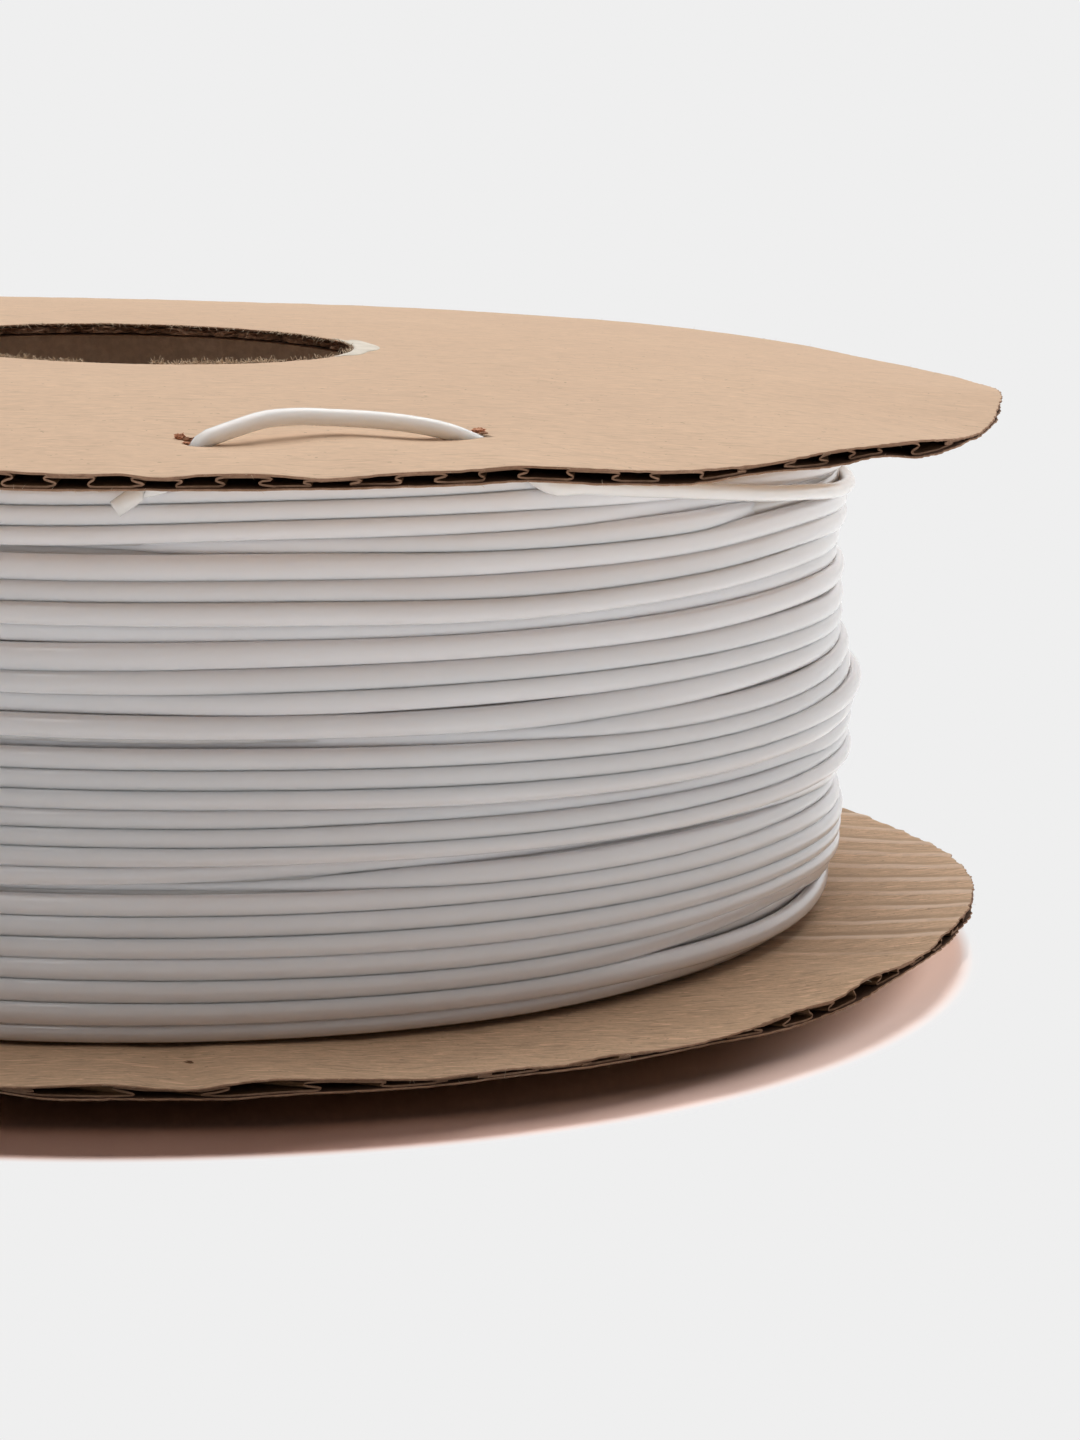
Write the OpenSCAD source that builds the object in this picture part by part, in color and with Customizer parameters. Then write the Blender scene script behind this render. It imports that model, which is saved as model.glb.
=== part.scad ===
// Cardboard filament spool, wound with 1.75 mm filament.
// The spool's axis is Z. The origin is on the axis, in the plane of the lower
// hub face. Angles are in degrees, counter-clockwise from +X seen from above.

/* [Flanges] */
// Outer diameter of both flanges
flange_d = 200; // [180:1:260]
// Width of the spool over the flat hub faces
overall_w = 65.4; // [58:0.1:90]
// Diameter of the spindle hole through both flanges
hub_hole_d = 50; // [30:0.5:60]
// Diameter of the flat middle of each flange, before it dishes inwards
flat_d = 90; // [88:0.5:110]
// How far the rim of the upper flange is dished inwards
top_dish = 2.9; // [0:0.1:5]
// How far the rim of the lower flange is dished inwards
bottom_dish = 2.5; // [0:0.1:5]

/* [Corrugated board] */
// Thickness of each paper liner
liner_t = 0.25; // [0.15:0.05:0.6]
// Space between the two liners of a board
flute_gap = 1.1; // [0.8:0.05:3]
// Thickness of the fluted paper
flute_paper_t = 0.2; // [0.1:0.02:0.3]
// Distance between two crests of the fluted paper
flute_pitch = 7.9; // [6:0.1:9]
// How far the fluted paper stops short of the board's edges
flute_setback = 0.3; // [0.1:0.1:1]
// Direction of the flutes in the upper flange
top_flute_angle = 82; // [0:1:180]
// Direction of the flutes in the lower flange
bottom_flute_angle = 155; // [0:1:180]

/* [Core tube] */
// Bore of the core tube
tube_bore_d = 76; // [70:0.5:78]
// Wall of the core tube
tube_wall = 4; // [2:0.1:4.5]
// Thickness of the tube's inner and outer plies
ply_t = 0.5; // [0.3:0.05:0.8]
// Leg of the glue bead around each end of the tube
bead_leg = 1.5; // [0.8:0.1:2]

/* [Filament] */
// Diameter of the filament
strand_d = 1.75; // [1.5:0.05:1.85]
// Outer diameter of the wound filament
winding_d = 166.4; // [140:0.2:172]
// Turns in the outer layer
layer_turns = 22.5; // [12:0.5:23]
// How far the last turn dips below the top of the layer it crosses
cross_dip = 6.1; // [2:0.1:12]

/* [Strand holes] */
// Direction from the axis to the middle of the strand's arch
arch_angle = -73; // [-90:1:-50]
// How far inside the winding's outer diameter the arch lies
arch_inset = 3.8; // [3:0.1:6]
// Width of the two slots that the strand passes through
slot_w = 2.6; // [2.3:0.1:3.4]

/* [Glue smear] */
// Width of the dried glue film beside the spindle hole
smear_w = 2.6; // [1:0.1:4]
// Length of the dried glue film
smear_len = 7; // [4:0.5:12]
// Thickness of the dried glue film
smear_t = 0.15; // [0.1:0.05:0.4]

/* [Hidden] */
$fn = 128;

paper_gap = 0.05;      // glue line between two plies
flute_gap_side = 0.12; // clearance of the fluted paper to each liner
seat_gap = 0.35;       // clearance of the winding to the flanges
strand_gap = 0.15;     // clearance between a strand and what it lies on
touch = 0.01;          // overlap that makes a cut clean

flange_r = flange_d / 2;
hole_r = hub_hole_d / 2;
flat_r = flat_d / 2;
board_t = 2 * liner_t + flute_gap;
tube_bore_r = tube_bore_d / 2;
tube_r = tube_bore_r + tube_wall;

// The tube and its glue stand where the board is furthest in under the glue's foot.
glue_foot_r = tube_r + bead_leg;
tube_low = board_t + dished(glue_foot_r, bottom_dish);
tube_high = overall_w - board_t - dished(glue_foot_r, top_dish);

// The outer layer: one helix of straight chords between its rings.
layer_rings = 24;      // rings in one loop
layer_sides = 6;
layer_step = 360 / layer_rings;
strand_r = strand_d / 2;
layer_r = winding_d / 2 - strand_r;
core_r = layer_r * cos(layer_step / 2) - strand_r - strand_gap;
over_r = layer_r + (strand_d + strand_gap) / cos(layer_step / 2);
layer_low = board_t + dished(layer_r, bottom_dish) + seat_gap + strand_r;
headroom = strand_d + 2 * seat_gap;
layer_high = overall_w - board_t - dished(layer_r, top_dish) - headroom - strand_r;
layer_end_angle = arch_angle - 37;
layer_start_angle = layer_end_angle + layer_turns * 360;
layer_count = round(layer_turns * layer_rings);

// The strand starts in a flat pocket cut into the packed layers below it.
start_r = layer_r - strand_d - strand_gap;
start_run = sqrt(layer_r * layer_r - start_r * start_r);
start_angle = layer_start_angle + acos(start_r / layer_r);
pocket_floor = start_r - strand_r - strand_gap;
pocket_top = layer_low + strand_r + seat_gap;

// The crossing turn: ring numbers counted from the end of the outer layer.
out_ring = 2;          // lies fully on top of the layer from here
dip_ring = 18;         // lowest point
last_ring = 20;        // last ring on the winding
dip_z = layer_high - cross_dip;

// The free strand: along the arch, outwards from the arch line, up from the hub face.
arch_r = winding_d / 2 - arch_inset;
ARCH = [
    [-17.8, 3.3, -6.6], [-15.7, 1.8, -5.0], [-13.7, 0, -3.5], [-10.7, 0, -2.1],
    [-7.6, 0, -1.1], [-4.4, 0, -0.4], [-0.2, 0, 0.3], [4.0, 0, 0.7],
    [8.2, 0, 0.9], [11.3, 0, 0.7], [14.1, 0, -0.1], [16.7, 0, -1.0],
    [19.2, 0, -2.1], [21.5, 0.3, -3.4], [23.6, 0.9, -4.8], [25.5, 1.7, -6.3],
    [27.5, 2.3, -8.1]
];
// Where each slot's straight sides start and end, along the arch.
SLOTS = [[-15.2, -4.8], [14.8, 23.2]];

// How far a flange has moved inwards at a radius.
function dished(r, dish) =
    r <= flat_r ? 0 : dish * (r * r - flat_r * flat_r) / (flange_r * flange_r - flat_r * flat_r);

function polar(r, angle, z) = [r * cos(angle), r * sin(angle), z];

function at_arch(p) =
    let (c = cos(arch_angle), s = sin(arch_angle), out = arch_r + p[1])
    [out * c + p[0] * s, out * s - p[0] * c, overall_w + p[2]];

// ---- strands ----

function unit(v) = v / norm(v);

function heading(path, i) =
    i == 0 ? unit(path[1] - path[0]) :
    i == len(path) - 1 ? unit(path[i] - path[i - 1]) :
    unit(unit(path[i + 1] - path[i]) + unit(path[i] - path[i - 1]));

function ring(path, i) =
    let (along = heading(path, i), side = unit(cross(along, [0, 0, 1])), up = cross(side, along))
    [for (k = [0 : layer_sides - 1])
        let (a = k * 360 / layer_sides)
        path[i] + strand_r * (cos(a) * side + sin(a) * up)];

function wall_faces(rings) = [
    for (i = [0 : rings - 2], k = [0 : layer_sides - 1])
        let (a = i * layer_sides, n = (k + 1) % layer_sides, b = a + layer_sides)
        each [[a + k, a + n, b + k], [a + n, b + n, b + k]]
];

function end_faces(rings) = [
    for (k = [1 : layer_sides - 2])
        let (b = (rings - 1) * layer_sides)
        each [[0, k + 1, k], [b, b + k, b + k + 1]]
];

module strand(path) {
    polyhedron(
        points = [for (i = [0 : len(path) - 1]) each ring(path, i)],
        faces = concat(wall_faces(len(path)), end_faces(len(path)))
    );
}

start_along = [sin(start_angle), -cos(start_angle), 0];

layer_path = concat(
    [for (s = [0, strand_d, start_run / 2])
        polar(start_r, start_angle, layer_low) + s * start_along],
    [for (i = [0 : layer_count])
        polar(layer_r, layer_start_angle - i * layer_step,
              layer_low + (layer_high - layer_low) * i / layer_count)]
);
layer_exit = layer_path[len(layer_path) - 1];
layer_out = unit([sin(layer_end_angle), -cos(layer_end_angle), 0]);
full_layer_path = concat(layer_path, [layer_exit + strand_d * layer_out]);

function cross_z(k) =
    k <= out_ring ? layer_high :
    k <= dip_ring ? layer_high - cross_dip * (k - out_ring) / (dip_ring - out_ring) :
    dip_z + (at_arch(ARCH[0])[2] - dip_z) * (k - dip_ring) / (last_ring - dip_ring + 0.75);

tail_path = concat(
    [for (s = [strand_d, 2 * strand_d]) layer_exit + s * layer_out],
    [for (k = [1 : last_ring])
        polar(k < out_ring ? (layer_r + over_r) / 2 : over_r,
              layer_end_angle - k * layer_step, cross_z(k))],
    [for (p = ARCH) at_arch(p)]
);

// ---- least gap of a strand to itself, measured from ring to chord ----

function to_chord(p, a, b) =
    let (along = b - a, t = max(0, min(1, (p - a) * along / (along * along))))
    norm(p - a - t * along);

function least_gap(path, skip) = min([
    for (i = [0 : len(path) - 1])
        for (j = [i + skip : min(i + 3 * skip, len(path) - 2)])
            to_chord(path[i], path[j], path[j + 1])
]) - strand_d;

echo("least gap of the outer layer to itself, mm", least_gap(full_layer_path, layer_rings / 2));
echo("least gap of the tail to itself, mm", least_gap(tail_path, layer_rings / 2));
echo("least gap of the tail to the outer layer, mm", min([
    for (i = [3 : len(tail_path) - 1], j = [0 : len(full_layer_path) - 2])
        to_chord(tail_path[i], full_layer_path[j], full_layer_path[j + 1])
]) - strand_d);

// ---- boards, drawn for the lower flange ----

dish_steps = 6;
dish_radii = concat([hole_r], [for (i = [0 : dish_steps]) flat_r + (flange_r - flat_r) * i / dish_steps]);

module liner(dish, lift) {
    rotate_extrude()
        polygon(concat(
            [for (r = dish_radii) [r, lift + dished(r, dish)]],
            [for (i = [len(dish_radii) - 1 : -1 : 0])
                [dish_radii[i], lift + liner_t + dished(dish_radii[i], dish)]]
        ));
}

// The fluted paper is a zigzag sheet: one row of points along every crest and trough.
flute_r = flange_r - flute_setback;
flute_rows = 2 * floor(0.985 * flute_r / flute_pitch * 2) + 1;
flute_stations = 12;
flute_swing = (flute_gap - 2 * flute_gap_side - flute_paper_t) / 2;

function flute_x(i) = (i - (flute_rows - 1) / 2) * flute_pitch / 2;

// Stations end on the rim, and two of them bound the flat middle.
function flute_y(x, j) =
    let (rim = sqrt(flute_r * flute_r - x * x),
         flat = sqrt(max(flat_r * flat_r - x * x, 1)),
         side = j < flute_stations / 2 ? -1 : 1,
         n = side < 0 ? flute_stations / 2 - 1 - j : j - flute_stations / 2)
    side * (flat + (rim - flat) * n / (flute_stations / 2 - 1));

function flute_point(i, j, dish, lift) =
    let (x = flute_x(i), y = flute_y(x, j), swing = i % 2 == 0 ? flute_swing : -flute_swing)
    [x, y, liner_t + flute_gap / 2 + swing + lift + dished(norm([x, y]), dish)];

module fluting(dish) {
    half = flute_paper_t / 2;
    m = flute_stations;
    n = flute_rows;
    base = m * n;
    polyhedron(
        points = concat(
            [for (i = [0 : n - 1], j = [0 : m - 1]) flute_point(i, j, dish, half)],
            [for (i = [0 : n - 1], j = [0 : m - 1]) flute_point(i, j, dish, -half)]
        ),
        faces = concat(
            [for (i = [0 : n - 2], j = [0 : m - 2])
                let (a = i * m + j, b = a + m)
                each [[a, a + 1, b], [a + 1, b + 1, b],
                      [base + a, base + b, base + a + 1], [base + a + 1, base + b, base + b + 1]]],
            [for (j = [0 : m - 2])
                let (z = (n - 1) * m)
                each [[j, base + j, j + 1], [j + 1, base + j, base + j + 1],
                      [z + j, z + j + 1, base + z + j], [z + j + 1, base + z + j + 1, base + z + j]]],
            [for (i = [0 : n - 2])
                let (a = i * m, b = a + m, c = a + m - 1, d = c + m)
                each [[a, b, base + a], [b, base + b, base + a],
                      [c, base + c, d], [d, base + c, base + d]]]
        )
    );
}

module turned_over() {
    translate([0, 0, overall_w])
        mirror([0, 0, 1])
            children();
}

// A slit with pointed ends, cut straight down through the upper board.
module strand_slots() {
    for (ends = SLOTS) {
        half = (ends[1] - ends[0]) / 2;
        depth = board_t + top_dish + 1;
        translate(at_arch([(ends[0] + ends[1]) / 2, 0, 1 - depth]))
            rotate([0, 0, arch_angle])
                linear_extrude(height = depth)
                    polygon([
                        [0, half + slot_w / 2], [-slot_w / 2, half], [-slot_w / 2, -half],
                        [0, -half - slot_w / 2], [slot_w / 2, -half], [slot_w / 2, half]
                    ]);
    }
}

// ---- the nodes ----

module top_outer_liner() {
    color([0.86, 0.74, 0.61])
        difference() {
            turned_over() liner(top_dish, 0);
            strand_slots();
        }
}

module top_inner_liner() {
    color([0.80, 0.68, 0.55])
        difference() {
            turned_over() liner(top_dish, liner_t + flute_gap);
            strand_slots();
        }
}

module bottom_outer_liner() {
    color([0.66, 0.53, 0.42]) liner(bottom_dish, 0);
}

module bottom_inner_liner() {
    color([0.70, 0.57, 0.46]) liner(bottom_dish, liner_t + flute_gap);
}

module fluting_hole() {
    translate([0, 0, -touch])
        cylinder(r = hole_r + flute_setback, h = board_t + 1, $fn = 64);
}

module top_fluting() {
    color([0.45, 0.34, 0.27])
        difference() {
            turned_over()
                difference() {
                    rotate([0, 0, 90 - top_flute_angle]) fluting(top_dish);
                    fluting_hole();
                }
            strand_slots();
        }
}

module bottom_fluting() {
    color([0.45, 0.34, 0.27])
        difference() {
            rotate([0, 0, bottom_flute_angle - 90]) fluting(bottom_dish);
            fluting_hole();
        }
}

module tube(outer_r, wall) {
    length = tube_high - tube_low;
    translate([0, 0, tube_low])
        difference() {
            cylinder(r = outer_r, h = length);
            translate([0, 0, -touch])
                cylinder(r = outer_r - wall, h = length + 2 * touch);
        }
}

module core_tube_inner_ply() {
    color([0.42, 0.32, 0.26]) tube(tube_bore_r + ply_t, ply_t);
}

module core_tube_body() {
    color([0.52, 0.42, 0.34])
        tube(tube_r - ply_t - paper_gap, tube_wall - 2 * (ply_t + paper_gap));
}

module core_tube_outer_ply() {
    color([0.58, 0.46, 0.36]) tube(tube_r, ply_t);
}

module glue_bead(foot_z) {
    rotate_extrude()
        polygon([
            [tube_r + paper_gap, foot_z],
            [glue_foot_r, foot_z],
            [tube_r + paper_gap, foot_z + bead_leg]
        ]);
}

module top_glue_bead() {
    color([0.85, 0.80, 0.68]) turned_over() glue_bead(overall_w - tube_high);
}

module bottom_glue_bead() {
    color([0.85, 0.80, 0.68]) glue_bead(tube_low);
}

// A thin film with round ends on the hub face, against the edge of the spindle hole.
module glue_smear() {
    run = smear_len - smear_w;
    color([0.88, 0.84, 0.76])
        translate([hole_r + 0.2 + smear_w / 2, 0, overall_w]) {
            for (side = [-1, 1])
                translate([0, side * run / 2, 0])
                    cylinder(d = smear_w, h = smear_t, $fn = 32);
            translate([-smear_w / 2, -run / 2, 0])
                cube([smear_w, run, smear_t]);
        }
}

// The packed layers under the outer one, as one plain body.
module filament_inner_layers() {
    inner_r = tube_r + strand_gap;
    bevel = bead_leg + strand_gap;
    bevel_r = inner_r + bevel;
    slope_r = max(flat_r, bevel_r);
    shoulder = headroom;
    low_radii = [bevel_r, slope_r, (slope_r + core_r) / 2, core_r];
    high_radii = [core_r - shoulder, (slope_r + core_r) / 2, slope_r, bevel_r];
    low_z = board_t + seat_gap;
    high_z = overall_w - board_t - seat_gap;
    bevel_low = low_z + dished(bevel_r, bottom_dish) + bevel;
    bevel_high = high_z - dished(bevel_r, top_dish) - bevel;
    color([0.80, 0.79, 0.77])
        difference() {
            rotate_extrude()
                polygon(concat(
                    [[inner_r, bevel_low]],
                    [for (r = low_radii) [r, low_z + dished(r, bottom_dish)]],
                    [[core_r, high_z - dished(core_r, top_dish) - shoulder]],
                    [for (r = high_radii) [r, high_z - dished(r, top_dish)]],
                    [[inner_r, bevel_high]]
                ));
            rotate([0, 0, start_angle])
                translate([pocket_floor, -2 * start_run, 0])
                    cube([strand_d * 3, 2 * start_run + paper_gap, pocket_top]);
        }
}

module filament_outer_layer() {
    color([0.88, 0.88, 0.88]) strand(full_layer_path);
}

module filament_tail() {
    color([0.94, 0.92, 0.88]) strand(tail_path);
}

top_outer_liner();
top_fluting();
top_inner_liner();
bottom_inner_liner();
bottom_fluting();
bottom_outer_liner();
core_tube_inner_ply();
core_tube_body();
core_tube_outer_ply();
top_glue_bead();
bottom_glue_bead();
glue_smear();
filament_inner_layers();
filament_outer_layer();
filament_tail();
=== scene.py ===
"""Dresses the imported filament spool: torn kraft boards, crushed fluting, tube, glue and the wound strand.

Lengths in the code are millimetres unless a name says otherwise; MM turns them into Blender's metres.
A place on the winding or on a rim is given by its bearing: degrees from -Y (the front) towards +X.
"""

from math import atan2, cos, pi, radians, sin, sqrt

import bpy
import numpy as np
from mathutils import Matrix, Vector

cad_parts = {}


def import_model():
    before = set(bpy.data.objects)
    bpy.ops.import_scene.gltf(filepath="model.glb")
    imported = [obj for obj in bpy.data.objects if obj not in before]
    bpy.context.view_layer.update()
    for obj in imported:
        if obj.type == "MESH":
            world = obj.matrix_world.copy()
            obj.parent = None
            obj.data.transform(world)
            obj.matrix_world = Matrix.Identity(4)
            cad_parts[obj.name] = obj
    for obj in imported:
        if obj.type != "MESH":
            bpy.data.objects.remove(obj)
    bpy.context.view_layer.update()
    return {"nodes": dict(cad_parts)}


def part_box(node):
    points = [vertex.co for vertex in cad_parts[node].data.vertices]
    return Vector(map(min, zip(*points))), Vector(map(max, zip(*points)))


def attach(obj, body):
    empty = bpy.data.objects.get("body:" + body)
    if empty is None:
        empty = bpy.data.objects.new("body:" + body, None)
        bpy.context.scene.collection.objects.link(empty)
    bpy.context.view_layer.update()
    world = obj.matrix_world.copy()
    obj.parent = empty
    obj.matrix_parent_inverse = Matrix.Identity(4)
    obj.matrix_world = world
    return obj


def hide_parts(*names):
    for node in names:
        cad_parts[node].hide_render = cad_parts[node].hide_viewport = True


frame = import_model()
scene = bpy.context.scene
MM = 0.001
PIECES = []

# ------------ sizes shared with the part's source
FLANGE_R = 100.0
HOLE_R = 25.0
OVERALL_W = 65.4          # over the two hub faces
FLAT_R = 45.0             # the flanges are flat within this radius, and dished beyond it
TOP_DISH = 2.9
BOTTOM_DISH = 2.5
LINER_T = 0.25
BOARD_T = 1.6
PAPER_T = 0.2
FLUTE_PITCH = 7.9
FLUTES_TOP = 82.0         # directions of the flutes, degrees from +X
FLUTES_LOW = -25.0
TUBE_BORE_R = 38.0
TUBE_R = 42.0
PLY_T = 0.5
LAYER_R = 82.3            # middle of the strand in the outer layer
OVER_R = 84.24            # and where it lies over that layer
LOOK_R = 0.93             # half the width of the outer layer's strand, measured inwards
TAIL_R = 0.87
TOUCH = 1.72              # strands nearer to each other than this would cut in
COARSE, FINE = 360, 1440  # points round a liner's body and round its torn rim


# ------------ small numeric helpers
def dished(r, dish):
    """How far a flange's dish has risen or dropped at radius r."""
    return np.where(r <= FLAT_R, 0.0, dish * (r * r - FLAT_R ** 2) / (FLANGE_R ** 2 - FLAT_R ** 2))


def polar(r, bearing, z):
    """Points at radius r and a bearing in degrees."""
    a = np.radians(bearing)
    r, a, z = np.broadcast_arrays(r, a, z)
    return np.stack([r * np.sin(a), -r * np.cos(a), z], -1)


def circle(n, whole=2 * pi):
    """n even steps round a circle; whole is 360 for degrees."""
    return np.arange(n) / n * whole


def smooth(x, lo, hi):
    """Soft step from 0 at lo to 1 at hi."""
    t = np.clip((x - lo) / (hi - lo), 0, 1)
    return t * t * (3 - 2 * t)


def hermite(xs, ys, x):
    """Smooth curve through the points (xs, ys), read at x."""
    xs, ys, x = np.asarray(xs, float), np.asarray(ys, float), np.asarray(x, float)
    m = np.gradient(ys, xs)
    i = np.clip(np.searchsorted(xs, x, side="right") - 1, 0, len(xs) - 2)
    h = xs[i + 1] - xs[i]
    t = np.clip((x - xs[i]) / h, 0, 1)
    return ((2 * t ** 3 - 3 * t ** 2 + 1) * ys[i] + (t ** 3 - 2 * t ** 2 + t) * h * m[i]
            + (3 * t ** 2 - 2 * t ** 3) * ys[i + 1] + (t ** 3 - t ** 2) * h * m[i + 1])


def around(points, bearing):
    """Closed smooth curve through the values given at some bearings, read at others."""
    b, v = np.array(list(points), float), np.array(list(points.values()), float)
    xs = np.concatenate([b[-3:] - 360, b, b[:3] + 360])
    ys = np.concatenate([v[-3:], v, v[:3]])
    x = (np.asarray(bearing, float) - b[0]) % 360 + b[0]
    return hermite(xs, ys, x)


def ripple(seed, x, waves, low, high):
    """Unit-sized wandering of x (radians, closed over a full turn) from whole-number waves."""
    rng = np.random.default_rng(seed)
    k = rng.integers(low, high + 1, waves)
    p = rng.uniform(0, 2 * pi, waves)
    a = rng.uniform(0.5, 1, waves)
    out = sum(a[j] * np.sin(k[j] * x + p[j]) for j in range(waves))
    return out / sqrt((a * a).sum() / 2)


def smoothed(values, kernel):
    """The values, each averaged with its neighbours."""
    return np.convolve(np.pad(values, len(kernel) // 2, mode="edge"), kernel / kernel.sum(), "valid")


def highest_near(values, reach):
    """For each value, the highest one within reach steps of it."""
    return np.max([np.roll(values, k) for k in range(-reach, reach + 1)], axis=0)


def blotches(seed, x, y, waves, size):
    """Unit-sized smooth unevenness over a plane; size is about the width of a patch."""
    rng = np.random.default_rng(seed)
    a = rng.uniform(0, 2 * pi, waves)
    k = 2 * pi / (size * rng.uniform(1.2, 3.2, waves))
    p = rng.uniform(0, 2 * pi, waves)
    out = sum(np.sin(k[j] * (x * cos(a[j]) + y * sin(a[j])) + p[j]) for j in range(waves))
    return out / sqrt(waves / 2)


# ------------ mesh helpers
def quads_between(a, b, n, closed=True):
    """Faces between ring a and ring b, each given by its first vertex, with n points."""
    i = np.arange(n if closed else n - 1)
    j = (i + 1) % n
    return np.stack([a + i, a + j, b + j, b + i], -1)


def step_between(a, na, b, nb):
    """Triangles between ring a with na points and ring b with nb = k * na points."""
    k = nb // na
    faces = []
    for i in range(na):
        j, base = (i + 1) % na, i * k
        half = k // 2
        for t in range(k):
            p, q = b + base + t, b + (base + t + 1) % nb
            faces.append((a + (i if t < half else j), q, p))
            if t == half - 1:
                faces.append((a + i, a + j, q))
    return faces


def rings_mesh(rings, closed_loop, tags=None):
    """Vertices and faces of a surface through rings whose point counts are whole multiples of each other.
    With tags, one number for each strip between two rings, it also gives each face its strip's number."""
    starts = np.cumsum([0] + [len(r) for r in rings])
    faces, kinds = [], []
    pairs = list(zip(range(len(rings) - 1), range(1, len(rings))))
    if closed_loop:
        pairs.append((len(rings) - 1, 0))
    for k, (p, q) in enumerate(pairs):
        na, nb = len(rings[p]), len(rings[q])
        if na == nb:
            new = quads_between(starts[p], starts[q], na).tolist()
        elif na < nb:
            new = step_between(starts[p], na, starts[q], nb)
        else:
            new = [f[::-1] for f in step_between(starts[q], nb, starts[p], na)]
        faces += new
        kinds += [tags[k] if tags else 0] * len(new)
    return (np.concatenate(rings), faces, kinds) if tags else (np.concatenate(rings), faces)


def facing_out(verts, faces):
    """The faces as lists, turned over if they enclose a negative volume."""
    v = np.asarray(verts, float)
    faces = [list(f) for f in faces]
    tris = [(f[0], f[i], f[i + 1]) for f in faces for i in range(1, len(f) - 1)]
    t = v[np.asarray(tris)]
    volume = np.einsum("ij,ij->i", t[:, 0], np.cross(t[:, 1], t[:, 2])).sum()
    return [f[::-1] for f in faces] if volume < 0 else faces


def new_object(name, verts, faces):
    """An object in the scene from millimetre vertices."""
    mesh = bpy.data.meshes.new(name)
    mesh.from_pydata((np.asarray(verts, float) * MM).tolist(), [], facing_out(verts, faces))
    obj = bpy.data.objects.new(name, mesh)
    scene.collection.objects.link(obj)
    return obj


def piece(name, verts, faces, materials, node=None, shade=True, kinds=None):
    """A piece of the spool, which stands for node. kinds picks each face's material."""
    obj = new_object(name, verts, faces)
    mesh = obj.data
    mesh.polygons.foreach_set("use_smooth", [shade and len(f) <= 4 for f in faces])
    for m in materials if isinstance(materials, (list, tuple)) else [materials]:
        mesh.materials.append(m)
    if kinds is not None:
        mesh.polygons.foreach_set("material_index", kinds)
    mesh.update()
    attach(obj, "root")
    if node:
        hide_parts(node)
    PIECES.append(obj)
    return obj


def carve(obj, verts, faces):
    """Cuts a closed form out of a piece."""
    cutter = new_object("cutter", verts, faces)
    cut = obj.modifiers.new("cut", "BOOLEAN")
    cut.operation, cut.solver, cut.object = "DIFFERENCE", "EXACT", cutter
    done = bpy.data.meshes.new_from_object(obj.evaluated_get(bpy.context.evaluated_depsgraph_get()))
    obj.modifiers.clear()
    obj.data = done
    bpy.data.objects.remove(cutter)


def frames_along(path):
    """Two unit directions across the path at each of its points, turning as little as possible."""
    t = np.gradient(path, axis=0)
    t /= np.linalg.norm(t, axis=1)[:, None]
    n = np.cross([0, 0, 1.0], t[0])
    n = n / np.linalg.norm(n) if np.linalg.norm(n) > 1e-6 else np.array([1.0, 0, 0])
    normals = []
    for d in t:
        n = n - d * n.dot(d)
        n = n / np.linalg.norm(n)
        normals.append(n)
    normals = np.array(normals)
    return normals, np.cross(t, normals)


def tube_faces(count, sides):
    """Walls and end caps of a tube through count rings."""
    walls = np.concatenate([quads_between(i * sides, (i + 1) * sides, sides) for i in range(count - 1)])
    last = (count - 1) * sides
    return walls.tolist() + [list(range(sides))[::-1], list(range(last, last + sides))]


def tube_mesh(path, radius, sides):
    """Round tube along a path. radius may differ along it."""
    path = np.asarray(path, float)
    n, b = frames_along(path)
    a = circle(sides)[None, :, None]
    r = np.broadcast_to(np.asarray(radius, float), (len(path),))[:, None, None]
    rings = path[:, None] + r * (np.cos(a) * n[:, None] + np.sin(a) * b[:, None])
    return rings.reshape(-1, 3), tube_faces(len(path), sides)


def join(parts):
    """One vertex list and one face list from several."""
    verts, faces, base = [], [], 0
    for v, f in parts:
        verts.append(v)
        faces += [[i + base for i in g] for g in f]
        base += len(v)
    return np.concatenate(verts), faces


# ------------ materials
class Nodes:
    """A node tree under construction."""

    def __init__(self, owner):
        owner.use_nodes = True
        self.t = owner.node_tree

    def link(self, a, b):
        self.t.links.new(a, b)

    def fill(self, sock, v):
        """Puts an output, a number or a colour on an input."""
        if isinstance(v, bpy.types.NodeSocket):
            self.link(v, sock)
        elif sock.type == "RGBA":
            sock.default_value = (v, v, v, 1) if isinstance(v, (int, float)) else (*v, 1)
        else:
            sock.default_value = v

    def add(self, kind, **settings):
        """A new node. Settings with a capital are for its inputs, and the others for the node itself."""
        n = self.t.nodes.new("ShaderNode" + kind)
        for k, v in settings.items():
            if k[0].isupper():
                self.fill(n.inputs[k], v)
            else:
                setattr(n, k, v)
        return n

    def math(self, op, a, b=0.0):
        n = self.add("Math", operation=op)
        self.fill(n.inputs[0], a)
        self.fill(n.inputs[1], b)
        return n.outputs[0]

    def either(self, fac, a, b):
        """Shader a where fac is 0, and b where it is 1."""
        n = self.add("MixShader", Fac=fac)
        self.link(a.outputs[0], n.inputs[1])
        self.link(b.outputs[0], n.inputs[2])
        return n


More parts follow.
